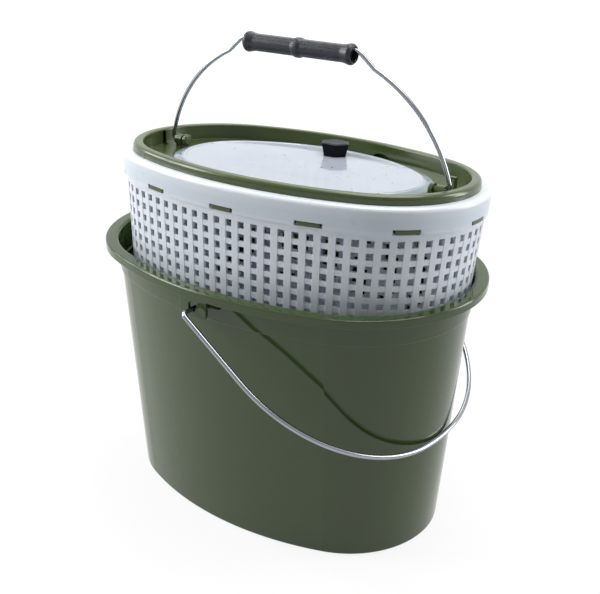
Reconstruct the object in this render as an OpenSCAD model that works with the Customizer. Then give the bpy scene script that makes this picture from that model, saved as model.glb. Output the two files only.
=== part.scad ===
// Aerated bait bucket: an oval bucket, a sieve basket drawn up in its mouth, two wire bails and a
// clear lid. The frame stands on the bucket's underside: +X along the oval, +Z up, front at -Y.

/* [Bucket] */
// Length over the rim
rim_length = 356; // [350:1:360]
// Width over the rim
rim_width = 247.8; // [246:0.2:250]
// Angle from the long axis at which the round ends pass into the sides, in degrees
end_turn = 68.2; // [68:0.1:68.4]
// Height of the rim above the table
bucket_height = 228.6; // [220:0.2:236]
// Thickness of the bucket's wall
bucket_wall = 2; // [1.8:0.1:2.1]
// Lean of the moulded walls, as a fraction of their height
draft = 0.07; // [0.066:0.001:0.074]
// Width of the rim's flat top
rim_flat = 8.8; // [8.4:0.1:9.2]
// Height of the rim's turned-down edge
skirt_height = 6.9; // [6.4:0.1:7.4]
// Height of the collar below the turned-down edge
collar_height = 19.9; // [19:0.1:21]
// How far the collar's lower edge lies inside the rim
collar_inset = 11.9; // [11.8:0.1:12]
// Step from the collar in to the wall
collar_step = 1.2; // [1:0.1:1.4]
// Radius of the edge round the underside
foot_radius = 2; // [1:0.5:3]

/* [Bail ears] */
// Width of each ear
ear_width = 27; // [24:1:30]
// Depth of each ear below the rim
ear_depth = 22.5; // [21.5:0.5:23.5]
// Thickness of each ear
ear_thickness = 2.5; // [2:0.1:2.8]
// Diameter of the hole in each ear
ear_hole = 9; // [8.4:0.2:9.6]
// Depth of the hole's centre below the rim
ear_hole_depth = 13; // [12.6:0.2:13.4]

/* [Outer bail] */
// Diameter of the wire
outer_wire = 4; // [3.6:0.1:4]
// Distance from the rim out to the middle of each leg
leg_clearance = 11.6; // [11.1:0.1:12.6]
// Distance from the hinge axis to the far end
outer_reach = 196; // [195:0.5:197]
// Radius of the corner bends
outer_corner = 125; // [122:1:127]
// Angle that each corner bend turns through, in degrees
corner_turn = 83.5; // [83:0.5:84]

/* [Basket place] */
// Height of the ring's top above the rim
basket_rise = 82.2; // [82.2:0.2:90]
// Shift of the ring's middle along the bucket
basket_shift_x = 5.8; // [5.6:0.1:5.9]
// Shift of the ring's middle to the back
basket_shift_y = 6.6; // [6.5:0.1:6.7]
// Tilt of the basket to the back, in degrees
basket_tilt = 3.5; // [3.4:0.1:3.5]
// Turn of the basket about its own upright, in degrees
basket_turn = 3.5; // [3.3:0.1:3.5]

/* [Sieve basket] */
// Depth of the basket from the ring's top to its underside
basket_depth = 195; // [175:5:195]
// Thickness of the sieve wall
sieve_wall = 2.4; // [2.2:0.1:2.6]
// Width of the upright slots
slot_width = 5.8; // [5.4:0.1:6]
// Distance from one row of holes to the next
row_pitch = 10; // [9.8:0.1:10.4]
// Height of each row of holes
row_height = 5.6; // [5.2:0.1:6]
// Depth of the first row's centre below the ring's top
first_row = 35.2; // [34.8:0.1:35.6]
// How far the band stands outside the ring
band_reach = 8.6; // [8.4:0.1:8.8]
// Depth of the band's lower edge below the ring's top
band_bottom = 26.8; // [26.6:0.1:27]

/* [Top ring] */
// How far the ring's edge lies inside the bucket's rim
ring_inset = 22.6; // [22.5:0.1:22.8]
// Width of the ring's bead
bead_width = 8.4; // [8.2:0.1:8.6]
// Height of the ring's bead
bead_height = 7.1; // [6.8:0.1:7.4]
// Thickness of the ring's walls
ring_wall = 2; // [1.8:0.1:2.2]
// Depth of the deck below the ring's top
deck_depth = 13.5; // [13:0.5:14]
// Number of clip tabs round the ring
tab_count = 12; // [8:4:12]
// Width of each clip tab
tab_width = 18; // [16:1:20]
// Depth of the clip tabs below the ring's top
tab_depth = 24.8; // [24.6:0.1:25]

/* [Lid] */
// Gap between the lid's ends and the caps of the basket's bail
lid_end_gap = 3.5; // [3:0.5:5]
// Width of the lid
lid_width = 174; // [172:1:175]
// Angle at which the lid's round ends pass into its sides, in degrees
lid_end_turn = 48.5; // [48:0.5:49]
// Depth of the lid's top panel below the ring's top
lid_depth = 8.8; // [8.6:0.1:9]
// Thickness of the lid
lid_wall = 2; // [1.6:0.1:2]
// Distance of the knob's middle from the lid's back edge
knob_inset = 32; // [29:1:37]

/* [Basket bail] */
// Diameter of the wire
bail_wire = 3.5; // [3.2:0.1:3.6]
// Distance from the ring's edge in to the middle of each leg
leg_inset = 18.4; // [17.9:0.1:18.9]
// Depth of the hinge axis below the ring's top
bail_axis_depth = 7.1; // [7:0.1:7.2]
// Length of the straight stretch beside the grip
crank_length = 14.38; // [12:0.02:17]
// Lean of the bail to the front, in degrees
bail_lean = 7; // [4:1:8]
// Length of the grip
grip_length = 103; // [98:1:104]
// Diameter of the grip
grip_diameter = 14; // [13.5:0.5:14.5]
// Bore of the grip
grip_bore = 11; // [10.5:0.5:11]

/* [Fits] */
// Gap left where a piece rests on another that moves
rest_gap = 0.3; // [0.3:0.05:0.35]
// Radial clearance of a pin in its bore
pin_gap = 0.06; // [0.04:0.01:0.08]

/* [Hidden] */
$fn = 72;

olive = "#4b5434";
milk = "#e9ecf4";
zinc = "#b9bec6";
black = "#1c1c1f";
glassy = "#dfe8f2";
skew = atan(draft);

// A four-arc oval as [half-distance of the end centres, end radius, side radius, how far the side
// arcs' centres lie beyond the middle, angle at which an end arc passes into a side arc].
function oval(length, width, turn) =
    let (lean = (1 - sin(turn)) / cos(turn))
    let (end = (width - length * lean) / 2 / (1 - lean))
    let (reach = length / 2 - end)
    [reach, end, end + reach / cos(turn), reach * tan(turn), turn];
rim = oval(rim_length, rim_width, end_turn);

// Along the hinge axis of the basket's bail, from the middle: its caps, then the ring's bosses.
bail_span = rim_length - 2 * (ring_inset + leg_inset);
boss_outer = bail_span / 2 - 3.5;
boss_inner = boss_outer - 7.2;
cap_inner = boss_inner - 6.3;
cap_outer = boss_inner - rest_gap;
lid_oval = oval(2 * (cap_inner - lid_end_gap), lid_width, lid_end_turn);

// Half the oval's width at a distance along it, and half its length at a distance across it.
function half_width(path, offset, x) = abs(x) < path[0] + (path[1] + offset) * cos(path[4])
    ? sqrt(pow(path[2] + offset, 2) - x * x) - path[3]
    : sqrt(pow(path[1] + offset, 2) - pow(abs(x) - path[0], 2));
function half_length(path, offset, y) = abs(y) < (path[1] + offset) * sin(path[4])
    ? path[0] + sqrt(pow(path[1] + offset, 2) - y * y)
    : sqrt(pow(path[2] + offset, 2) - pow(abs(y) + path[3], 2));

// A round stretch as a list of points: centre, radius and the angles it runs between.
function arc(x, y, r, from, to, steps = 4) =
    [for (i = [0:steps]) let (a = from + (to - from) * i / steps) [x + r * cos(a), y + r * sin(a)]];

// Moves in two steps, whole millimetres first, so that long arcs meet exactly.
module shift(x, y) {
    translate([floor(x), floor(y)])
        translate([x - floor(x), y - floor(y)]) children();
}

// A wall that follows an oval. Its section is drawn as (offset from the outline, height).
module oval_wall(path) {
    for (half = [0, 180])
        rotate([0, 0, half]) {
            shift(path[0], 0)
                rotate_extrude(angle = 2 * path[4], start = -path[4])
                    shift(path[1], 0) children();
            shift(0, -path[3])
                rotate_extrude(angle = 180 - 2 * path[4], start = path[4])
                    shift(path[2], 0) children();
        }
}

// The filled oval, grown or shrunk by an offset.
module oval_area(path, offset) {
    for (side = [-1, 1])
        translate([side * path[0], 0]) circle(path[1] + offset);
    intersection() {
        translate([0, path[3]]) circle(path[2] + offset);
        translate([0, -path[3]]) circle(path[2] + offset);
        square([2 * (path[0] + (path[1] + offset) * cos(path[4])), 2 * path[2]], center = true);
    }
}

module oval_plate(path, offset, bottom, thickness) {
    translate([0, 0, bottom]) linear_extrude(thickness) oval_area(path, offset);
}

// A short stretch of wall: the child section is turned through an arc of the given width.
module stretch(radius, offset, width) {
    half = width / (radius + offset) * 90 / PI;
    rotate_extrude(angle = 2 * half, start = -half) shift(radius, 0) children();
}

// Repeats a short stretch of wall at even steps round the oval. The first lies at the front's
// middle, or half a step beside it where the phase is 0.5.
module round_oval(path, offset, count, width, phase = 0) {
    side = (path[2] + offset) * (90 - path[4]) * PI / 180;
    quarter = side + (path[1] + offset) * path[4] * PI / 180;
    for (step = [0:count - 1]) {
        run = (step + phase) * 4 * quarter / count;
        part = floor(run / quarter + 0.001);
        from_side = part % 2 == 0 ? run - part * quarter : (part + 1) * quarter - run;
        mirror([part < 2 ? 0 : 1, 0, 0]) mirror([0, part == 0 || part == 3 ? 1 : 0, 0])
            if (from_side < side)
                shift(0, -path[3])
                    rotate([0, 0, 90 - from_side / (path[2] + offset) * 180 / PI])
                        stretch(path[2], offset, width) children();
            else
                shift(path[0], 0)
                    rotate([0, 0, path[4] - (from_side - side) / (path[1] + offset) * 180 / PI])
                        stretch(path[1], offset, width) children();
    }
}

// A bent round wire that starts along +Z. Each step is a straight length, then a bend towards
// +X given by its radius and angle; a negative angle bends towards -X. Its pieces meet in balls.
seam = 0.05;
module ball(diameter) {
    sphere(d = diameter + 0.04);
}

module wire(diameter, steps, i = 0) {
    if (i == 0) ball(diameter);
    if (i < len(steps)) {
        if (steps[i][0] > 0) {
            translate([0, 0, seam]) cylinder(d = diameter, h = steps[i][0] - 2 * seam);
            translate([0, 0, steps[i][0]]) ball(diameter);
        }
        translate([0, 0, steps[i][0]])
            wire_bend(diameter, steps[i][1], steps[i][2]) wire(diameter, steps, i + 1);
    }
}

module wire_bend(diameter, radius, angle) {
    side = angle < 0 ? 180 : 0;
    turn = abs(angle);
    if (turn > 0) {
        gap = seam / radius * 180 / PI;
        rotate([0, 0, side]) {
            translate([radius, 0, 0]) rotate([90, 0, 0])
                rotate_extrude(angle = turn - 2 * gap, start = 180 - turn + gap)
                    translate([radius, 0]) circle(d = diameter);
            translate([radius * (1 - cos(turn)), 0, radius * sin(turn)])
                rotate([0, turn, 0]) rotate([0, 0, -side]) {
                    ball(diameter);
                    children();
                }
        }
    }
}

// Where a wire's steps end: [side way, forward way], for a wire that starts along +Z.
function bend_end(radius, from, angle) = let (s = sign(angle))
    [s * radius * (cos(from) - cos(from + angle)), s * radius * (sin(from + angle) - sin(from))];
function wire_end(steps, i = 0, heading = 0) = i == len(steps) ? [0, 0] :
    steps[i][0] * [sin(heading), cos(heading)]
    + bend_end(steps[i][1], heading, steps[i][2])
    + wire_end(steps, i + 1, heading + steps[i][2]);

// The basket's frame: its origin is the middle of the ring's top.
module at_basket() {
    translate([basket_shift_x, basket_shift_y, bucket_height + basket_rise])
        rotate([-basket_tilt, 0, 0]) rotate([0, 0, basket_turn]) children();
}

// ---- Outer bucket ----

// Offsets are measured from the rim's outline.
under_rim = bucket_height - bucket_wall;
skirt_bottom = bucket_height - skirt_height;
step_height = skirt_bottom - collar_height;
shelf_height = step_height + bucket_wall;
rim_round = 1.5;
mouth_round = 3;
bucket_floor = 2.6;
floor_corner = 4;
floor_overlap = 8;
function collar_face(z) = -collar_inset + draft * (z - step_height);
function wall_face(z) = -collar_inset - collar_step - draft * (step_height - z);

module bucket_section() {
    corner_height = bucket_floor + floor_corner;
    floor_edge = wall_face(0) - floor_corner - floor_overlap;
    polygon(concat(
        [[0, skirt_bottom]],
        arc(-rim_round, bucket_height - rim_round, rim_round, 0, 90),
        arc(-rim_flat, bucket_height - mouth_round, mouth_round, 90, 180),
        [[collar_face(shelf_height) - bucket_wall, shelf_height],
         [wall_face(shelf_height) - bucket_wall, shelf_height]],
        arc(wall_face(corner_height) - bucket_wall - floor_corner, corner_height, floor_corner,
            0, -90),
        [[floor_edge, bucket_floor],
         [floor_edge, 0]],
        arc(wall_face(foot_radius) - foot_radius, foot_radius, foot_radius, -90, 0),
        [[wall_face(step_height), step_height],
         [collar_face(step_height), step_height],
         [collar_face(under_rim), under_rim],
         [-bucket_wall, under_rim],
         [-bucket_wall, skirt_bottom]]));
}

// The ear's outline: a plate with two round lower corners.
module ear_outline() {
    corner = 5;
    bottom = bucket_height - ear_depth;
    translate([-ear_width / 2, bottom + corner]) square([ear_width, ear_depth - corner - 1]);
    translate([-ear_width / 2 + corner, bottom]) square([ear_width - 2 * corner, corner + 1]);
    for (side = [-1, 1])
        translate([side * (ear_width / 2 - corner), bottom + corner]) circle(corner);
}

module ear() {
    intersection() {
        oval_wall(rim)
            translate([-ear_thickness, bucket_height - ear_depth])
                square([ear_thickness, ear_depth - 1]);
        translate([0, -rim_width / 2 + 6, 0]) rotate([90, 0, 0])
            linear_extrude(12) ear_outline();
    }
}

module outer_bucket() {
    color(olive) difference() {
        union() {
            oval_wall(rim) bucket_section();
            oval_plate(rim, wall_face(0) - floor_overlap, 0, bucket_floor);
            for (half = [0, 180]) rotate([0, 0, half]) ear();
        }
        for (side = [-1, 1])
            translate([0, side * rim_width / 2, bucket_height - ear_hole_depth])
                rotate([90, 0, 0]) cylinder(d = ear_hole, h = 12, center = true);
    }
}

// ---- Outer bail ----

outer_axis = bucket_height - ear_hole_depth - ear_hole / 2 + outer_wire / 2 + rest_gap;
// The bail hangs until its end rests on the wall.
wall_length = rim_length / 2 + wall_face(0) + draft * outer_axis;
outer_drop = skew + acos((wall_length * cos(skew) + outer_wire / 2 + rest_gap) / outer_reach);
outer_span = rim_width + 2 * leg_clearance;
corner_in = outer_span / 2 - outer_corner;
end_bend = outer_corner + corner_in / cos(corner_turn);
outer_leg = outer_reach - end_bend + (end_bend - outer_corner) * sin(corner_turn);
shank_bend = 4.5;
hook_bend = 3.5;
hook_length = 1.5;
// The hook stands midway between the ear and the collar.
hook_middle = (rim_width - ear_thickness + collar_face(outer_axis)) / 2;

// Half of the bail, from the hook behind the ear to the middle of the end.
module half_outer_bail() {
    shank = outer_span / 2 - hook_middle - shank_bend - hook_bend;
    translate([hook_bend + hook_length, -hook_middle, 0]) rotate([90, 0, -90])
        wire(outer_wire, [[hook_length, hook_bend, 90],
                          [shank, shank_bend, 90],
                          [outer_leg - shank_bend, outer_corner, corner_turn],
                          [0, end_bend, 90 - corner_turn]]);
}

module outer_bail() {
    color(zinc) translate([0, 0, outer_axis]) rotate([0, outer_drop, 0])
        for (side = [0, 1]) mirror([0, side, 0]) half_outer_bail();
}

// ---- Sieve basket ----

// Heights are measured from the ring's top and offsets from the ring's outline.
band_wall = 2.2;
band_round = 3.4;
flange_inner = -1.3;
body_reach = band_reach - 3.1;
sieve_bottom = -basket_depth;
sieve_floor = 2.4;
floor_lip = 8;
floor_pitch = 15;
cut_overlap = 0.1;
well_height = 44;
slot_count = 76;
groove_depth = sieve_wall / 2 + cut_overlap;
row_count = floor((basket_depth - first_row - well_height) / row_pitch) + 1;
function band_face(z) = band_reach + 0.06 * min(0, z + 10);
function body_face(z) = body_reach + draft * (z + band_bottom);

// Grooves inside the wall, one for each row of holes, from the lowest up.
function groove_points() = [for (row = [row_count - 1:-1:0])
    let (low = -first_row - row * row_pitch - row_height / 2)
    let (high = low + row_height)
    each [[body_face(low) - sieve_wall, low],
          [body_face(low) - sieve_wall + groove_depth, low],
          [body_face(high) - sieve_wall + groove_depth, high],
          [body_face(high) - sieve_wall, high]]];

module basket_section() {
    inside = body_face(sieve_bottom) - floor_lip;
    translate([-ring_inset, 0])
        polygon(concat(
            [[flange_inner, -bead_height]],
            arc(band_reach - band_round, -bead_height - band_round, band_round, 90, 0),
            [[band_face(-band_bottom), -band_bottom],
             [body_face(-band_bottom), -band_bottom],
             [body_face(sieve_bottom), sieve_bottom],
             [inside, sieve_bottom],
             [inside, sieve_bottom + sieve_floor],
             [body_face(sieve_bottom + sieve_floor) - sieve_wall, sieve_bottom + sieve_floor]],
            groove_points(),
            [[body_face(-band_bottom - 2) - sieve_wall, -band_bottom - 2],
             [band_face(-band_bottom + 2) - band_wall, -band_bottom + 2],
             [band_reach - band_wall, -bead_height - band_wall],
             [flange_inner, -bead_height - band_wall]]));
}

// Section of an upright slot in the outer half of the wall.
module slot_section() {
    top = -first_row + row_height / 2;
    bottom = top - (row_count - 1) * row_pitch - row_height;
    depth = sieve_wall - groove_depth + 2 * cut_overlap;
    translate([-ring_inset, 0])
        polygon([[body_face(top) - depth, top],
                 [body_face(top) + 1, top],
                 [body_face(bottom) + 1, bottom],
                 [body_face(bottom) - depth, bottom]]);
}

// The floor is crossed by slots from below along one way and from above along the other.
module floor_slots() {
    margin = body_face(sieve_bottom) - ring_inset - floor_lip - 2;
    depth = sieve_floor / 2 + cut_overlap;
    across = floor(half_length(rim, margin, 0) / floor_pitch);
    along = floor(half_width(rim, margin, 0) / floor_pitch);
    for (step = [-across:across]) {
        x = step * floor_pitch;
        reach = half_width(rim, margin, x);
        translate([x - slot_width / 2, -reach, sieve_bottom - 1])
            cube([slot_width, 2 * reach, depth + 1]);
    }
    for (step = [-along:along]) {
        y = step * floor_pitch;
        reach = half_length(rim, margin, y);
        translate([-reach, y - slot_width / 2, sieve_bottom + sieve_floor - depth])
            cube([2 * reach, slot_width, depth + 1]);
    }
}

module sieve_basket() {
    window = 4;
    color(milk) at_basket() difference() {
        union() {
            oval_wall(rim) basket_section();
            oval_plate(rim, body_face(sieve_bottom) - ring_inset - floor_lip + 3, sieve_bottom,
                sieve_floor);
        }
        round_oval(rim, body_reach - ring_inset, slot_count, slot_width, 0.5) slot_section();
        round_oval(rim, band_reach - ring_inset, tab_count, tab_width + 4)
            translate([-ring_inset, -tab_depth - window / 2]) square([band_reach + 3, window]);
        floor_slots();
    }
}

// ---- Top ring ----

skirt_face = flange_inner - rest_gap;
channel_roof = -2.5;
bead_round = 3.2;
lip_round = 1.6;
tab_height = 3;
deck_hole = -7;
function ring_face(z) = -bead_width + draft * z;

module ring_section() {
    deck_bottom = -deck_depth - ring_wall;
    skirt_end = -tab_depth - tab_height / 2 - 1;
    deck_strip = ring_face(-deck_depth) - 6;
    translate([-ring_inset, 0])
        polygon(concat(
            [[0, -bead_height]],
            arc(-bead_round, -bead_round, bead_round, 0, 90),
            arc(-bead_width + lip_round, -lip_round, lip_round, 90, 180),
            [[ring_face(-deck_depth), -deck_depth],
             [deck_strip, -deck_depth],
             [deck_strip, deck_bottom],
             [ring_face(deck_bottom) + ring_wall, deck_bottom],
             [ring_face(channel_roof) + ring_wall, channel_roof],
             [skirt_face - ring_wall, channel_roof],
             [skirt_face - ring_wall, skirt_end],
             [skirt_face, skirt_end],
             [skirt_face, -bead_height]]));
}

// Bosses that the basket's bail turns in.
boss_diameter = 9;

module bail_boss() {
    translate([boss_inner, 0, -bail_axis_depth])
        rotate([0, 90, 0]) cylinder(d = boss_diameter, h = boss_outer - boss_inner);
    translate([boss_inner + 1, -3, -deck_depth - ring_wall / 2])
        cube([boss_outer - boss_inner - 2, 6, deck_depth + ring_wall / 2 - bail_axis_depth]);
}

module boss_bore() {
    translate([boss_inner - 1, 0, -bail_axis_depth])
        rotate([0, 90, 0])
            cylinder(d = bail_wire + 2 * pin_gap, h = boss_outer - boss_inner + 2);
}

// Slots in the ring's inner wall that let an airline down behind the deck.
module airline_slot(x_side, y_middle, width) {
    wall = half_length(rim, ring_face(-2) - ring_inset, y_middle);
    translate([x_side > 0 ? wall - 4 : -wall - ring_wall - 0.6, y_middle - width / 2,
               -deck_depth - ring_wall - 1])
        cube([ring_wall + 4.6, width, deck_depth + ring_wall + 1 - 1.8]);
}

// Low arched notches in the back of the inner wall, for a finger under the lid's edge.
module finger_notch(x_middle) {
    half = 11.5;
    rise = 4.5;
    radius = (half * half + rise * rise) / (2 * rise);
    wall = half_width(rim, ring_face(-deck_depth) - ring_inset, x_middle);
    intersection() {
        translate([x_middle, wall - 3, -deck_depth - radius + rise])
            rotate([-90, 0, 0]) cylinder(r = radius, h = ring_wall + 3.8);
        translate([x_middle - half - 1, wall - 4, -deck_depth])
            cube([2 * half + 2, ring_wall + 6, rise + 1]);
    }
}

// A small bridge on the deck that keeps an airline in place.
clip_side = 38.5;
clip_inset = 18.5;
module airline_clip() {
    width = 6.5;
    height = 9;
    wall = half_length(rim, ring_face(-deck_depth) - ring_inset, clip_side);
    translate([wall - clip_inset, clip_side, -deck_depth - ring_wall / 2]) difference() {
        cube([width, 4, height + ring_wall / 2]);
        translate([1.5, -1, ring_wall / 2])
            cube([width - 3, 6, height - 1.8]);
    }
}

// Lid hinge: one knuckle on the lid between two lugs on the deck.
hinge_back = lid_width / 2 + 2.2;
hinge_depth = 10.9;
hinge_radius = 2;
knuckle_length = 24;
lug_width = 3;
hinge_pin = 2;

module hinge_lug(side) {
    start = side * (knuckle_length / 2 + rest_gap) - (side < 0 ? lug_width : 0);
    translate([start, -hinge_back, -hinge_depth])
        rotate([0, 90, 0]) cylinder(r = hinge_radius, h = lug_width);
    translate([start, -hinge_back - hinge_radius, -deck_depth - ring_wall / 2])
        cube([lug_width, 2 * hinge_radius, deck_depth + ring_wall / 2 - hinge_depth]);
}

module hinge_bore(clearance) {
    translate([-knuckle_length, -hinge_back, -hinge_depth])
        rotate([0, 90, 0]) cylinder(d = hinge_pin + 2 * clearance, h = 2 * knuckle_length);
}

module top_ring() {
    deck_edge = ring_face(-deck_depth) - ring_inset - 4;
    color(olive) at_basket() difference() {
        union() {
            oval_wall(rim) ring_section();
            difference() {
                oval_plate(rim, deck_edge, -deck_depth - ring_wall, ring_wall);
                oval_plate(lid_oval, deck_hole + 3, -deck_depth - ring_wall - 1, ring_wall + 2);
            }
            oval_wall(lid_oval)
                translate([deck_hole, -deck_depth - ring_wall]) square([6, ring_wall]);
            round_oval(rim, band_reach - ring_inset, tab_count, tab_width)
                translate([skirt_face - ring_wall / 2 - ring_inset, -tab_depth - tab_height / 2])
                    square([band_face(-tab_depth) - skirt_face + ring_wall / 2 - 0.2, tab_height]);
            for (side = [0, 1]) mirror([side, 0, 0]) bail_boss();
            for (side = [-1, 1]) hinge_lug(side);
            airline_clip();
        }
        for (side = [0, 1]) mirror([side, 0, 0]) boss_bore();
        hinge_bore(pin_gap / 2);
        airline_slot(-1, -2.5, 5);
        airline_slot(1, 11, 6);
        for (side = [-1, 1]) finger_notch(side * 27);
    }
}

// ---- Lid, knob, screw and hinge pin ----

knob_back = lid_width / 2 - knob_inset;
lid_slope = 8;
lid_ridge = 3.4;
knob_width = 13.6;
knob_foot = 11;
knob_height = lid_depth + 3;
screw_shank = 4;
screw_head = 8;
screw_length = 8;

module lid_section() {
    edge_bottom = -deck_depth + rest_gap;
    edge_top = edge_bottom + 2.4;
    inner = lid_slope + lid_ridge;
    polygon(concat(
        [[0, edge_bottom]],
        arc(-0.8, edge_top - 0.8, 0.8, 0, 90, 3),
        [[-lid_slope, -lid_depth],
         [-lid_slope - 0.7, -lid_depth + 0.5],
         [-inner + 0.7, -lid_depth + 0.5],
         [-inner, -lid_depth],
         [-inner - 4, -lid_depth],
         [-inner - 4, -lid_depth - lid_wall],
         [-lid_slope, -lid_depth - lid_wall],
         [-2, edge_bottom + 0.6],
         [-2, edge_bottom]]));
}

module lid() {
    arm = 5;
    color(glassy, 0.35) at_basket() difference() {
        union() {
            oval_wall(lid_oval) lid_section();
            oval_plate(lid_oval, -lid_slope - lid_ridge - 2, -lid_depth - lid_wall, lid_wall);
            translate([-knuckle_length / 2, -hinge_back, -hinge_depth])
                rotate([0, 90, 0]) cylinder(r = hinge_radius, h = knuckle_length);
            translate([-knuckle_length / 2, -hinge_back, -hinge_depth - hinge_radius])
                cube([knuckle_length, arm, hinge_radius]);
        }
        hinge_bore(pin_gap);
        translate([0, knob_back, -lid_depth - lid_wall - 1])
            cylinder(d = screw_shank + 0.1, h = lid_wall + 2);
    }
}

module lid_knob() {
    crown = 0.8;
    color(black) at_basket() translate([0, knob_back, -lid_depth]) difference() {
        union() {
            cylinder(r1 = knob_foot, r2 = knob_width, h = knob_height - crown, $fn = 6);
            translate([0, 0, knob_height - crown])
                cylinder(r1 = knob_width, r2 = knob_width - 2.4, h = crown, $fn = 6);
        }
        translate([0, 0, -1]) cylinder(d = screw_shank, h = screw_length + 1.5);
    }
}

module knob_screw() {
    color(zinc) at_basket() translate([0, knob_back, -lid_depth - lid_wall]) {
        translate([0, 0, -2.4]) cylinder(d1 = screw_head - 1.6, d2 = screw_head, h = 2.4);
        cylinder(d = screw_shank - 0.04, h = screw_length);
    }
}

module lid_hinge_pin() {
    length = knuckle_length + 2 * lug_width + 2 * rest_gap;
    color(zinc) at_basket() translate([-length / 2, -hinge_back, -hinge_depth])
        rotate([0, 90, 0]) cylinder(d = hinge_pin, h = length);
}

// ---- Basket bail, grip and caps ----

cap_head = 10.6;
cap_neck = 6;
cap_rim = 4;
wire_start = cap_inner + 3.2;
leg_bend = 3.5;
leg_turn = 104.5;
bow_turn = 49.5;
joggle_run = 1;
joggle_bend = 4;
joggle_turn = 15.5;
grip_bend = 10.5;
grip_turn = 180 - leg_turn - bow_turn + joggle_turn;
// The wire starts to bend just inside the grip's ends.
grip_run = grip_length / 2 - 0.7;

// Half of the bail's wire, for a bow of some radius.
function bail_steps(bow) = [[boss_outer - wire_start, leg_bend, leg_turn],
                            [0, bow, bow_turn],
                            [joggle_run, joggle_bend, -joggle_turn],
                            [crank_length, grip_bend, grip_turn],
                            [grip_run, 0, 0]];
// The bow's radius brings the wire to the middle. The grip hangs there, its bore on the wire.
bow_bend = (-wire_start - wire_end(bail_steps(0))[1]) / bend_end(1, leg_turn, bow_turn)[1];
wire_rise = wire_end(bail_steps(bow_bend))[0];
grip_rise = wire_rise - grip_bore / 2 + bail_wire / 2 + rest_gap;

module at_bail() {
    at_basket() translate([0, 0, -bail_axis_depth]) rotate([bail_lean, 0, 0]) children();
}

// The two halves meet inside the grip.
module basket_bail() {
    color(zinc) at_bail()
        for (side = [0, 1]) mirror([side, 0, 0])
            translate([wire_start, 0, 0]) rotate([0, 90, 0]) rotate([0, 0, 180])
                wire(bail_wire, bail_steps(bow_bend));
}

// The grip's outline as (distance from its middle, radius), one half, then its mirror image.
module grip_section() {
    half = grip_length / 2;
    r = grip_diameter / 2;
    flare = r + 1.4;
    bead = r + 1;
    bore = grip_bore / 2;
    outline = concat(
        [[1.6, bead], [2.6, bead - 0.3], [3.4, r + 0.2], [4.2, r]],
        [[half - 10, r], [half - 7.5, r + 0.5]],
        arc(half - 3.4, flare - 3.4, 3.4, 115, 0, 6),
        [[half, bore + 0.6], [half - 0.6, bore]]);
    last = len(outline) - 1;
    polygon(concat(
        [for (p = outline) [p[1], p[0]]],
        [for (i = [last:-1:0]) [outline[i][1], -outline[i][0]]]));
}

module handle_grip() {
    color(black) at_bail() translate([0, 0, grip_rise])
        rotate([0, 90, 0]) rotate_extrude() grip_section();
}

// A mushroom cap pressed on the wire's end: a domed head, a neck and a blind hole.
module bail_cap() {
    head_end = cap_inner + cap_rim;
    rotate([0, 90, 0]) difference() {
        union() {
            translate([0, 0, cap_inner]) cylinder(d1 = cap_head - 2.4, d2 = cap_head, h = 1.2);
            translate([0, 0, cap_inner + 1.2]) cylinder(d = cap_head, h = cap_rim - 1.2);
            translate([0, 0, head_end]) cylinder(d = cap_neck, h = cap_outer - head_end);
        }
        translate([0, 0, wire_start - bail_wire / 2 - 0.1])
            cylinder(d = bail_wire + 0.1, h = cap_outer - wire_start + bail_wire);
    }
}

module bail_cap_right() {
    color(olive) at_bail() bail_cap();
}

module bail_cap_left() {
    color(olive) at_bail() mirror([1, 0, 0]) bail_cap();
}

outer_bucket();
outer_bail();
sieve_basket();
top_ring();
lid();
lid_knob();
knob_screw();
lid_hinge_pin();
basket_bail();
handle_grip();
bail_cap_left();
bail_cap_right();
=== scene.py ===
import math

import bmesh
import bpy
from mathutils import Matrix, Vector


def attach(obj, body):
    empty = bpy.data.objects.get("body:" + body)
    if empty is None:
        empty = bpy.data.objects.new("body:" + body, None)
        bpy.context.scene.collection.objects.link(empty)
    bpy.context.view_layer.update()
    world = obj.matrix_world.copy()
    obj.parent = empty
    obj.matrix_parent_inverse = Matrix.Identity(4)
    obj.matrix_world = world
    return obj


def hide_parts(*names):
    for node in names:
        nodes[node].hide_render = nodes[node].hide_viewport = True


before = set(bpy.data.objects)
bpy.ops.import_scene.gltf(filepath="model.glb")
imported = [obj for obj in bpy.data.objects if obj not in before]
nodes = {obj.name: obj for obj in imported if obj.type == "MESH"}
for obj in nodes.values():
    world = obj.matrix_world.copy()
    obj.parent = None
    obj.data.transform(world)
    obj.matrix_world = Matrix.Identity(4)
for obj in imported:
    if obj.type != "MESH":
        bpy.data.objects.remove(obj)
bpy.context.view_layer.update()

# ---- The basket's own frame: its top's middle, tilted and turned as it sits in the bucket ----

MM = 0.001
BASKET_TOP = Vector((5.8, 6.6, 310.8)) * MM
BASKET_TILT = math.radians(-3.5)
BASKET_TURN = math.radians(3.5)
BASKET = (Matrix.Translation(BASKET_TOP)
          @ Matrix.Rotation(BASKET_TILT, 4, "X")
          @ Matrix.Rotation(BASKET_TURN, 4, "Z"))
BASKET_UP = BASKET.to_3x3() @ Vector((0, 0, 1))


def basket_height(z):
    """Height along the basket's upright of a level given in millimetres in its frame."""
    return (BASKET @ Vector((0, 0, z * MM))).dot(BASKET_UP)


# ---- Camera: the photograph's viewing angle, fitted to the rims and the wires ----

AZIMUTH = math.radians(-53.46)
ELEVATION = math.radians(23.296)
DISTANCE = 0.87715
TARGET = Vector((0.00342, 0.01193, 0.17895))
ROLL = math.radians(1.037)
LENS = 58.97
SENSOR_WIDTH = 36.0
CLIP_NEAR = 0.05
CLIP_FAR = 60.0


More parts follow.
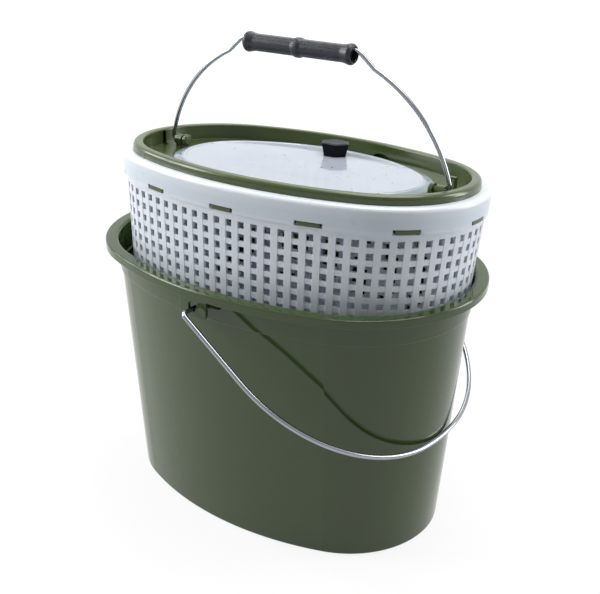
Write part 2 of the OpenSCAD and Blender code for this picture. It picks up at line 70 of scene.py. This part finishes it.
def make_camera():
    back = Vector((math.cos(ELEVATION) * math.cos(AZIMUTH),
                   math.cos(ELEVATION) * math.sin(AZIMUTH),
                   math.sin(ELEVATION)))
    right = (-back).cross(Vector((0, 0, 1))).normalized()
    up = right.cross(-back)
    turned_right = math.cos(ROLL) * right + math.sin(ROLL) * up
    turned_up = math.cos(ROLL) * up - math.sin(ROLL) * right
    data = bpy.data.cameras.new("camera")
    data.sensor_width = SENSOR_WIDTH
    data.lens = LENS
    data.clip_start = CLIP_NEAR
    data.clip_end = CLIP_FAR
    camera = bpy.data.objects.new("camera", data)
    bpy.context.scene.collection.objects.link(camera)
    matrix = Matrix((turned_right, turned_up, back)).transposed().to_4x4()
    matrix.translation = TARGET + DISTANCE * back
    camera.matrix_world = matrix
    bpy.context.scene.camera = camera


make_camera()

# ---- Materials ----

# The colour mixer's sockets go by number, because its names repeat for each kind of data.
MIX_FACTOR = 0
MIX_FIRST = 6
MIX_SECOND = 7
MIX_RESULT = 2

BEVEL_SAMPLES = 6


class Graph:
    """A material and short calls for its nodes."""

    def __init__(self, name):
        self.material = bpy.data.materials.new(name)
        self.material.use_nodes = True
        self.tree = self.material.node_tree
        self.shader = self.tree.nodes["Principled BSDF"]

    def node(self, kind, **values):
        made = self.tree.nodes.new(kind)
        for key, value in values.items():
            setattr(made, key, value)
        return made

    def link(self, source, target):
        self.tree.links.new(source, target)

    def value(self, socket, value):
        self.shader.inputs[socket].default_value = value

    def feed(self, source, socket):
        self.link(source, self.shader.inputs[socket])

    def place(self, scale=(1, 1, 1)):
        coords = self.node("ShaderNodeTexCoord")
        mapping = self.node("ShaderNodeMapping")
        mapping.inputs["Scale"].default_value = scale
        self.link(coords.outputs["Object"], mapping.inputs["Vector"])
        return mapping.outputs["Vector"]

    def noise(self, scale, detail, rough, where=None):
        made = self.node("ShaderNodeTexNoise")
        made.inputs["Scale"].default_value = scale
        made.inputs["Detail"].default_value = detail
        made.inputs["Roughness"].default_value = rough
        self.link(where or self.place(), made.inputs["Vector"])
        return made.outputs["Fac"]

    def ramp(self, factor, stops):
        made = self.node("ShaderNodeValToRGB")
        ramp = made.color_ramp
        while len(ramp.elements) < len(stops):
            ramp.elements.new(0.5)
        for element, (place, colour) in zip(ramp.elements, stops):
            element.position = place
            element.color = (*colour, 1.0)
        self.link(factor, made.inputs["Fac"])
        return made.outputs["Color"]

    def range(self, factor, low, high, start=0.3, stop=0.7):
        """From low at start to high at stop. The usual start and stop are a noise's own spread."""
        made = self.node("ShaderNodeMapRange")
        made.inputs["From Min"].default_value = start
        made.inputs["From Max"].default_value = stop
        made.inputs["To Min"].default_value = low
        made.inputs["To Max"].default_value = high
        self.link(factor, made.inputs["Value"])
        return made.outputs["Result"]

    def product(self, first, second):
        made = self.node("ShaderNodeMath", operation="MULTIPLY")
        self.link(first, made.inputs[0])
        self.link(second, made.inputs[1])
        return made.outputs[0]

    def along(self, vector, direction):
        """How far a vector reaches along a direction."""
        made = self.node("ShaderNodeVectorMath", operation="DOT_PRODUCT")
        self.link(vector, made.inputs[0])
        made.inputs[1].default_value = direction
        return made.outputs["Value"]

    def tinted(self, factor, colour, tint):
        """A colour multiplied by a tint where the factor is 1."""
        made = self.node("ShaderNodeMix", data_type="RGBA", blend_type="MULTIPLY")
        self.link(factor, made.inputs[MIX_FACTOR])
        self.link(colour, made.inputs[MIX_FIRST])
        made.inputs[MIX_SECOND].default_value = (*tint, 1.0)
        return made.outputs[MIX_RESULT]

    def softened(self, radius):
        """A normal that rounds the edges by a radius."""
        made = self.node("ShaderNodeBevel", samples=BEVEL_SAMPLES)
        made.inputs["Radius"].default_value = radius
        return made.outputs["Normal"]

    def bump(self, height, strength, distance, under=None):
        made = self.node("ShaderNodeBump")
        made.inputs["Strength"].default_value = strength
        made.inputs["Distance"].default_value = distance
        self.link(height, made.inputs["Height"])
        if under is not None:
            self.link(under, made.inputs["Normal"])
        return made.outputs["Normal"]


def shades(colour, spread):
    """A darker and a lighter copy of a colour."""
    return [tuple(min(1.0, part * factor) for part in colour)
            for factor in (1 - spread, 1 + spread)]


def clouded(graph, noise, colour, spread):
    """A colour that wanders between its darker and its lighter copy."""
    low, high = shades(colour, spread)
    return graph.ramp(noise, [(0.3, low), (0.7, high)])


def plastic(name, colour, roughness, spread=0.05, bump=0.05, edge=None):
    """Moulded plastic: cloudy shade, uneven gloss, a faint ripple and softened edges."""
    graph = Graph(name)
    cloud = graph.noise(scale=9.0, detail=4.0, rough=0.55)
    graph.feed(clouded(graph, cloud, colour, spread), "Base Color")
    haze = graph.noise(scale=38.0, detail=5.0, rough=0.6)
    graph.feed(graph.range(haze, low=roughness * 0.85, high=roughness * 1.2), "Roughness")
    soft = graph.softened(edge) if edge else None
    waves = graph.noise(scale=18.0, detail=1.0, rough=0.4)
    ripple = graph.bump(waves, strength=bump, distance=0.0010, under=soft)
    grains = graph.noise(scale=900.0, detail=2.0, rough=0.5)
    graph.feed(graph.bump(grains, strength=bump, distance=0.00004, under=ripple), "Normal")
    return graph


OLIVE = (0.038, 0.068, 0.017)
RING = (0.050, 0.074, 0.018)
WHITE = (0.72, 0.77, 0.84)
ZINC = (0.33, 0.35, 0.38)
GRIP = (0.009, 0.011, 0.018)
KNOB = (0.003, 0.0034, 0.006)


def wire_metal(name):
    """Bright zinc on drawn wire: a cloudy shade, uneven gloss and faint dents."""
    graph = Graph(name)
    graph.value("Metallic", 1.0)
    cloud = graph.noise(scale=60.0, detail=4.0, rough=0.6)
    graph.feed(clouded(graph, cloud, ZINC, spread=0.08), "Base Color")
    haze = graph.noise(scale=160.0, detail=3.0, rough=0.6)
    graph.feed(graph.range(haze, low=0.11, high=0.16), "Roughness")
    dents = graph.noise(scale=300.0, detail=2.0, rough=0.5)
    graph.feed(graph.bump(dents, strength=0.02, distance=0.00005), "Normal")
    return graph.material


# The grip's noise is stretched along the grip, and its pale streaks, a painted sheen, are brighter
# than the dark ground by the factor below.
GRIP_STRETCH = (0.25, 1, 1)
SHEEN_GAIN = 2.4


def streaked(name, colour, stretch):
    """Black plastic with a painted sheen: pale streaks along its length over a dark ground."""
    graph = Graph(name)
    streak_noise = graph.noise(scale=900.0, detail=4.0, rough=0.65, where=graph.place(stretch))
    sheen_colour = tuple(SHEEN_GAIN * part for part in colour)
    # Painted sheen: pale streaks along the grip, brighter than its dark ground.
    graph.feed(graph.ramp(streak_noise, [(0.42, colour), (0.75, sheen_colour)]), "Base Color")
    graph.feed(graph.range(streak_noise, low=0.24, high=0.44), "Roughness")
    graph.value("Specular IOR Level", 0.45)
    soft = graph.softened(0.0025)
    graph.feed(graph.bump(streak_noise, strength=0.15, distance=0.00015, under=soft), "Normal")
    return graph.material


# Levels in the basket's frame, in millimetres, between which painted shade darkens the white band
# where the green ring lies behind it.
PAINTED_SHADE_ABOVE = (-17.0, -9.5)
PAINTED_SHADE_BELOW = (-27.5, -23.5)
# The painted shade's tint on the white band.
PAINTED_SHADE_TINT = (0.86, 0.90, 0.92)


def milky(name):
    """White polypropylene that lets light through, with painted shade: greyer where the green ring
    lies behind it.
    """
    graph = plastic(name, WHITE, roughness=0.30, spread=0.02)
    height = graph.along(graph.place(), BASKET_UP)
    start, stop = [basket_height(z) for z in PAINTED_SHADE_ABOVE]
    upper = graph.range(height, low=1.0, high=0.0, start=start, stop=stop)
    start, stop = [basket_height(z) for z in PAINTED_SHADE_BELOW]
    lower = graph.range(height, low=0.0, high=1.0, start=start, stop=stop)
    cloud = graph.shader.inputs["Base Color"].links[0].from_socket
    # Painted shade: the band is greyed between the two fades, where the ring behind it takes the
    # light away.
    graph.feed(graph.tinted(graph.product(upper, lower), cloud, PAINTED_SHADE_TINT), "Base Color")
    graph.value("Subsurface Weight", 0.2)
    graph.value("Subsurface Radius", (0.003, 0.003, 0.004))
    graph.value("Subsurface Scale", 1.0)
    return graph.material


# The lid's panel stands above its border: levels in the basket's frame, in millimetres.
BORDER_ENDS = (-9.4, -8.9)
# The painted shade's tint on the lid's border, for the green deck seen through it.
PAINTED_BORDER_SHADE_TINT = (0.50, 0.60, 0.58)
PANEL_DARK = (0.66, 0.72, 0.83)
PANEL_LIGHT = (0.73, 0.78, 0.88)
SPECK_TINT = (0.25, 0.3, 0.4)


def clear(name):
    """Milky clear plastic with a few dark specks; painted shade makes its border darker and teal
    on the side facing up, where the green deck shows through.
    """
    graph = Graph(name)
    place = graph.place()
    start, stop = [basket_height(z) for z in BORDER_ENDS]
    below = graph.range(graph.along(place, BASKET_UP), low=1.0, high=0.0, start=start, stop=stop)
    normal = graph.node("ShaderNodeTexCoord").outputs["Normal"]
    facing_up = graph.range(graph.along(normal, BASKET_UP), low=0.0, high=1.0, start=0.1, stop=0.5)
    border = graph.product(below, facing_up)
    cloud = graph.noise(scale=14.0, detail=3.0, rough=0.5, where=place)
    panel = graph.ramp(cloud, [(0.3, PANEL_DARK), (0.7, PANEL_LIGHT)])
    dust = graph.noise(scale=330.0, detail=0.0, rough=0.5, where=place)
    specks = graph.range(dust, low=1.0, high=0.0, start=0.17, stop=0.20)
    spotted = graph.tinted(specks, panel, SPECK_TINT)
    # Painted shade: the border on the side facing up is tinted darker and teal, where the green
    # deck shows through it.
    graph.feed(graph.tinted(border, spotted, PAINTED_BORDER_SHADE_TINT), "Base Color")
    haze = graph.noise(scale=60.0, detail=3.0, rough=0.5, where=place)
    graph.feed(graph.range(haze, low=0.04, high=0.09), "Roughness")
    waves = graph.noise(scale=24.0, detail=2.0, rough=0.4, where=place)
    graph.feed(graph.bump(waves, strength=0.05, distance=0.0004), "Normal")
    graph.value("Transmission Weight", 0.45)
    graph.value("IOR", 1.5)
    return graph.material


def knob_plastic(name):
    """Black plastic with little gloss."""
    graph = plastic(name, KNOB, roughness=0.32, spread=0.15, edge=0.0005)
    graph.value("Specular IOR Level", 0.1)
    return graph.material


olive = plastic("olive_plastic", OLIVE, roughness=0.075, edge=0.0009).material
ring_olive = plastic("ring_plastic", RING, roughness=0.20, edge=0.0006).material
white = milky("white_plastic")
zinc = wire_metal("zinc_wire")
black = streaked("grip_plastic", GRIP, GRIP_STRETCH)
knob_black = knob_plastic("knob_plastic")
glass = clear("clear_plastic")

FINISH = {
    "outer_bucket": olive,
    "outer_bail": zinc,
    "sieve_basket": white,
    "top_ring": ring_olive,
    "lid": glass,
    "lid_knob": knob_black,
    "knob_screw": zinc,
    "lid_hinge_pin": zinc,
    "basket_bail": zinc,
    "handle_grip": black,
    "bail_cap_left": ring_olive,
    "bail_cap_right": ring_olive,
}

for name, material in FINISH.items():
    mesh = nodes[name].data
    mesh.materials.clear()
    mesh.materials.append(material)

# ---- Sieve wall: bars at full depth, and crossbars set back a little from their face ----

# Sizes are in millimetres, in the basket's frame.

RIM_LENGTH = 356.0
RIM_WIDTH = 247.8
END_TURN = math.radians(68.2)
RING_INSET = 22.6
BAND_BOTTOM = -26.8
BODY_REACH = 5.5
DRAFT = 0.07
SIEVE_WALL = 2.4
SLOTS = 76
SLOT_WIDTH = 5.8
SLOT_CHAMFER = 0.35
ROWS = 12
ROW_PITCH = 10.0
ROW_HEIGHT = 5.6
ROW_CHAMFER = 0.4
FIRST_ROW = -35.2
SETBACK = 0.35
LIP_ABOVE_HOLES = 0.3
LIP_BELOW_HOLES = 0.8
WALL_TOP = -31.6
WALL_BOTTOM = FIRST_ROW - (ROWS - 1) * ROW_PITCH - ROW_HEIGHT / 2 - LIP_BELOW_HOLES

WALL_CREASE = 0.6
MOULDING_CREASE = 0.5


def oval(length, width, turn):
    """Centres and radii of the four-arc oval."""
    lean = (1 - math.sin(turn)) / math.cos(turn)
    end = (width - length * lean) / 2 / (1 - lean)
    reach = length / 2 - end
    return reach, end, end + reach / math.cos(turn), reach * math.tan(turn), turn


RIM = oval(RIM_LENGTH, RIM_WIDTH, END_TURN)
RUN_OFFSET = BODY_REACH - RING_INSET


def quarter_runs(path):
    """Lengths of the side arc's half and of the end arc's half, on the sieve's top edge."""
    _, end, side, _, turn = path
    return (side + RUN_OFFSET) * (math.pi / 2 - turn), (end + RUN_OFFSET) * turn


def on_oval(path, run, offset):
    """Point at a run from the front's middle towards +X, measured on the sieve's top edge."""
    reach, end, side, drop, turn = path
    side_run, end_run = quarter_runs(path)
    quarter = side_run + end_run
    part = math.floor(run / quarter) % 4
    along = run - math.floor(run / quarter) * quarter
    from_side = along if part % 2 == 0 else quarter - along
    if from_side < side_run:
        angle = math.pi / 2 - from_side / (side + RUN_OFFSET)
        x = (side + offset) * math.cos(angle)
        y = (side + offset) * math.sin(angle) - drop
    else:
        angle = turn - (from_side - side_run) / (end + RUN_OFFSET)
        x = reach + (end + offset) * math.cos(angle)
        y = (end + offset) * math.sin(angle)
    return (x if part < 2 else -x), (-y if part in (0, 3) else y)


def body_face(z):
    """Offset from the rim's outline to the sieve's drafted outer face."""
    return BODY_REACH + DRAFT * (z - BAND_BOTTOM) - RING_INSET


def perimeter(path):
    return 4 * sum(quarter_runs(path))


def add_object(name, mesh):
    made = bpy.data.objects.new(name, mesh)
    bpy.context.scene.collection.objects.link(made)
    return made


def smooth(mesh, crease):
    mesh.shade_smooth()
    mesh.set_sharp_from_angle(angle=crease)


def sieve_columns():
    """Stops along the wall: (run, set back, hole), from bar to slot and back."""
    pitch = perimeter(RIM) / SLOTS
    stops = []
    for step in range(SLOTS):
        middle = (step + 0.5) * pitch
        left = middle - SLOT_WIDTH / 2
        right = middle + SLOT_WIDTH / 2
        bar_middle = (right + left + pitch) / 2
        stops += [(left, 0, True), (left + SLOT_CHAMFER, 1, True), (middle, 1, True),
                  (right - SLOT_CHAMFER, 1, True), (right, 0, False), (bar_middle, 0, False)]
    return stops


def sieve_rows():
    """Stops down the wall: (height, set back, hole), from bar to hole and back."""
    first_top = FIRST_ROW + ROW_HEIGHT / 2
    stops = [(WALL_TOP, 0, False), (first_top + LIP_ABOVE_HOLES, 0, False)]
    for row in range(ROWS):
        top = first_top - row * ROW_PITCH
        low = top - ROW_HEIGHT
        is_last = row == ROWS - 1
        stops.append((top, 1 if row else 0, True))
        stops.append((low, 0 if is_last else 1, False))
        if not is_last:
            stops.append((low - ROW_CHAMFER, 1, False))
            stops.append((top - ROW_PITCH + ROW_CHAMFER, 1, False))
    stops.append((WALL_BOTTOM, 0, False))
    return stops


def make_sieve_wall():
    columns = sieve_columns()
    rows = sieve_rows()
    points = []
    for z, row_back, _ in rows:
        for run, back, _ in columns:
            outer = body_face(z) - SETBACK * back * row_back
            for offset in (outer, body_face(z) - SIEVE_WALL):
                x, y = on_oval(RIM, run, offset)
                points.append(BASKET @ (Vector((x, y, z)) * MM))
    count = len(columns)
    faces = []

    def corner(row, column, inner):
        return (row * count + column % count) * 2 + inner

    def is_open(row, column):
        if not 0 <= row < len(rows) - 1:
            return False
        return rows[row][2] and columns[column % count][2]

    for row in range(len(rows) - 1):
        for column in range(count):
            a, b = (row, column), (row, column + 1)
            c, d = (row + 1, column + 1), (row + 1, column)
            if not is_open(row, column):
                faces.append([corner(*p, 0) for p in (d, c, b, a)])
                faces.append([corner(*p, 1) for p in (a, b, c, d)])
                continue
            for (p, q), beside in (((a, b), (row - 1, column)), ((b, c), (row, column + 1)),
                                   ((c, d), (row + 1, column)), ((d, a), (row, column - 1))):
                if not is_open(*beside):
                    faces.append([corner(*p, 0), corner(*q, 0), corner(*q, 1), corner(*p, 1)])
    mesh = bpy.data.meshes.new("sieve_wall")
    mesh.from_pydata(points, [], faces)
    mesh.update()
    mesh.materials.append(white)
    smooth(mesh, WALL_CREASE)
    return add_object("sieve_wall", mesh)


def part_of_node(name, node, height, keep_above, material):
    """A copy of a node's mesh on one side of a level of the basket's frame."""
    shape = bmesh.new()
    shape.from_mesh(nodes[node].data)
    cut = BASKET @ (Vector((0, 0, height)) * MM)
    bmesh.ops.bisect_plane(shape, geom=shape.verts[:] + shape.edges[:] + shape.faces[:],
                           plane_co=cut, plane_no=BASKET_UP,
                           clear_inner=keep_above, clear_outer=not keep_above)
    mesh = bpy.data.meshes.new(name)
    shape.to_mesh(mesh)
    shape.free()
    mesh.materials.clear()
    mesh.materials.append(material)
    smooth(mesh, MOULDING_CREASE)
    return add_object(name, mesh)


sieve_pieces = [
    make_sieve_wall(),
    part_of_node("sieve_band", "sieve_basket", WALL_TOP, True, white),
    part_of_node("sieve_base", "sieve_basket", WALL_BOTTOM, False, white),
]
for piece in sieve_pieces:
    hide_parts("sieve_basket")
    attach(piece, "basket")

# ---- Floor ----

FLOOR_HALF = 12.0
FLOOR_LEVEL = -0.0005
FLOOR_ALBEDO = 0.5
FLOOR_GLOW = 1.19
# The glow's share of the floor, near the object and far from it, and where it rises.
GLOW_NEAR = 0.72
GLOW_FAR = 1.0
RISE_START = 0.7
RISE_END = 2.5
MIRRORED_SHARE = 0.90


def make_floor():
    """A pale floor that shows near white and keeps the object's shadow."""
    mesh = bpy.data.meshes.new("floor")
    corners = [(-FLOOR_HALF, -FLOOR_HALF, FLOOR_LEVEL), (FLOOR_HALF, -FLOOR_HALF, FLOOR_LEVEL),
               (FLOOR_HALF, FLOOR_HALF, FLOOR_LEVEL), (-FLOOR_HALF, FLOOR_HALF, FLOOR_LEVEL)]
    mesh.from_pydata(corners, [], [(0, 1, 2, 3)])
    floor = add_object("floor", mesh)
    graph = Graph("floor")
    graph.value("Base Color", (FLOOR_ALBEDO, FLOOR_ALBEDO, FLOOR_ALBEDO, 1))
    graph.value("Roughness", 0.9)
    glow = graph.node("ShaderNodeEmission")
    glow.inputs["Color"].default_value = (1, 1, 1, 1)
    glow.inputs["Strength"].default_value = FLOOR_GLOW
    distance = graph.node("ShaderNodeVectorMath", operation="LENGTH")
    graph.link(graph.place(), distance.inputs[0])
    rising = graph.range(distance.outputs["Value"], low=GLOW_NEAR, high=GLOW_FAR,
                         start=RISE_START, stop=RISE_END)
    rays = graph.node("ShaderNodeLightPath")
    seen = graph.node("ShaderNodeMath", operation="MULTIPLY_ADD")
    graph.link(rays.outputs["Is Glossy Ray"], seen.inputs[0])
    seen.inputs[1].default_value = MIRRORED_SHARE
    graph.link(rays.outputs["Is Camera Ray"], seen.inputs[2])
    mix = graph.node("ShaderNodeMixShader")
    graph.link(graph.product(seen.outputs[0], rising), mix.inputs["Fac"])
    graph.link(graph.shader.outputs[0], mix.inputs[1])
    graph.link(glow.outputs[0], mix.inputs[2])
    graph.link(mix.outputs[0], graph.tree.nodes["Material Output"].inputs["Surface"])
    mesh.materials.append(graph.material)


# ---- Backdrop ----

# About the direction from the object to the camera, laid flat.
FRONT = (0.55, -0.80, 0.0)
# How bright mirror rays see the room behind the object and in front of it.
ROOM_BACK = 0.95
ROOM_FRONT = 0.55
ROOM_TURNS = (-0.2, 0.6)
FILL = 0.30


def make_world():
    """White for the camera, a room that dims to the front in mirrors, and a softer fill."""
    world = bpy.data.worlds.new("studio")
    world.use_nodes = True
    tree = world.node_tree
    back = tree.nodes["Background"]
    rays = tree.nodes.new("ShaderNodeLightPath")
    direction = tree.nodes.new("ShaderNodeTexCoord")
    front = tree.nodes.new("ShaderNodeVectorMath")
    front.operation = "DOT_PRODUCT"
    front.inputs[1].default_value = FRONT
    tree.links.new(direction.outputs["Generated"], front.inputs[0])

    def ranged(source, low, high, start=0.0, stop=1.0):
        made = tree.nodes.new("ShaderNodeMapRange")
        made.inputs["From Min"].default_value = start
        made.inputs["From Max"].default_value = stop
        made.inputs["To Min"].default_value = low
        made.inputs["To Max"].default_value = high
        tree.links.new(source, made.inputs["Value"])
        return made.outputs["Result"]

    def combined(operation, first, second):
        made = tree.nodes.new("ShaderNodeMath")
        made.operation = operation
        tree.links.new(first, made.inputs[0])
        tree.links.new(second, made.inputs[1])
        return made.outputs[0]

    seen = combined("MAXIMUM", rays.outputs["Is Camera Ray"], rays.outputs["Is Transmission Ray"])
    room = ranged(front.outputs["Value"], ROOM_BACK, ROOM_FRONT, *ROOM_TURNS)
    mirrored = combined("MULTIPLY", rays.outputs["Is Glossy Ray"], room)
    fill = ranged(rays.outputs["Is Glossy Ray"], FILL, 0.0)
    strength = combined("MAXIMUM", combined("MAXIMUM", seen, mirrored), fill)
    tree.links.new(strength, back.inputs["Strength"])
    back.inputs["Color"].default_value = (1, 1, 1, 1)
    bpy.context.scene.world = world


# ---- Lights: name, place, aim, width, height and power ----

LIGHTS = [
    ("key", (-1.45, -1.0, 1.0), (0, 0, 0.12), 0.7, 0.9, 22),
    ("top", (0.2, 0.3, 1.6), (0, 0, 0.2), 1.2, 0.9, 16),
    ("side", (1.2, 1.1, 0.6), (0, 0, 0.2), 0.5, 1.2, 14),
    ("rear", (-0.7, 1.0, 1.3), (0, 0, 0.25), 0.9, 0.4, 3),
    ("strip", (-1.25, -0.25, 1.15), (0, 0, 0.3), 0.25, 1.3, 9),
]


def soft_light(name, place, aim, width, height, power):
    data = bpy.data.lights.new(name, "AREA")
    data.shape = "RECTANGLE"
    data.size = width
    data.size_y = height
    data.energy = power
    light = add_object(name, data)
    light.location = place
    light.rotation_mode = "QUATERNION"
    light.rotation_quaternion = (Vector(aim) - Vector(place)).to_track_quat("-Z", "Y")


make_floor()
make_world()
for light in LIGHTS:
    soft_light(*light)

bpy.context.scene.view_settings.view_transform = "Standard"
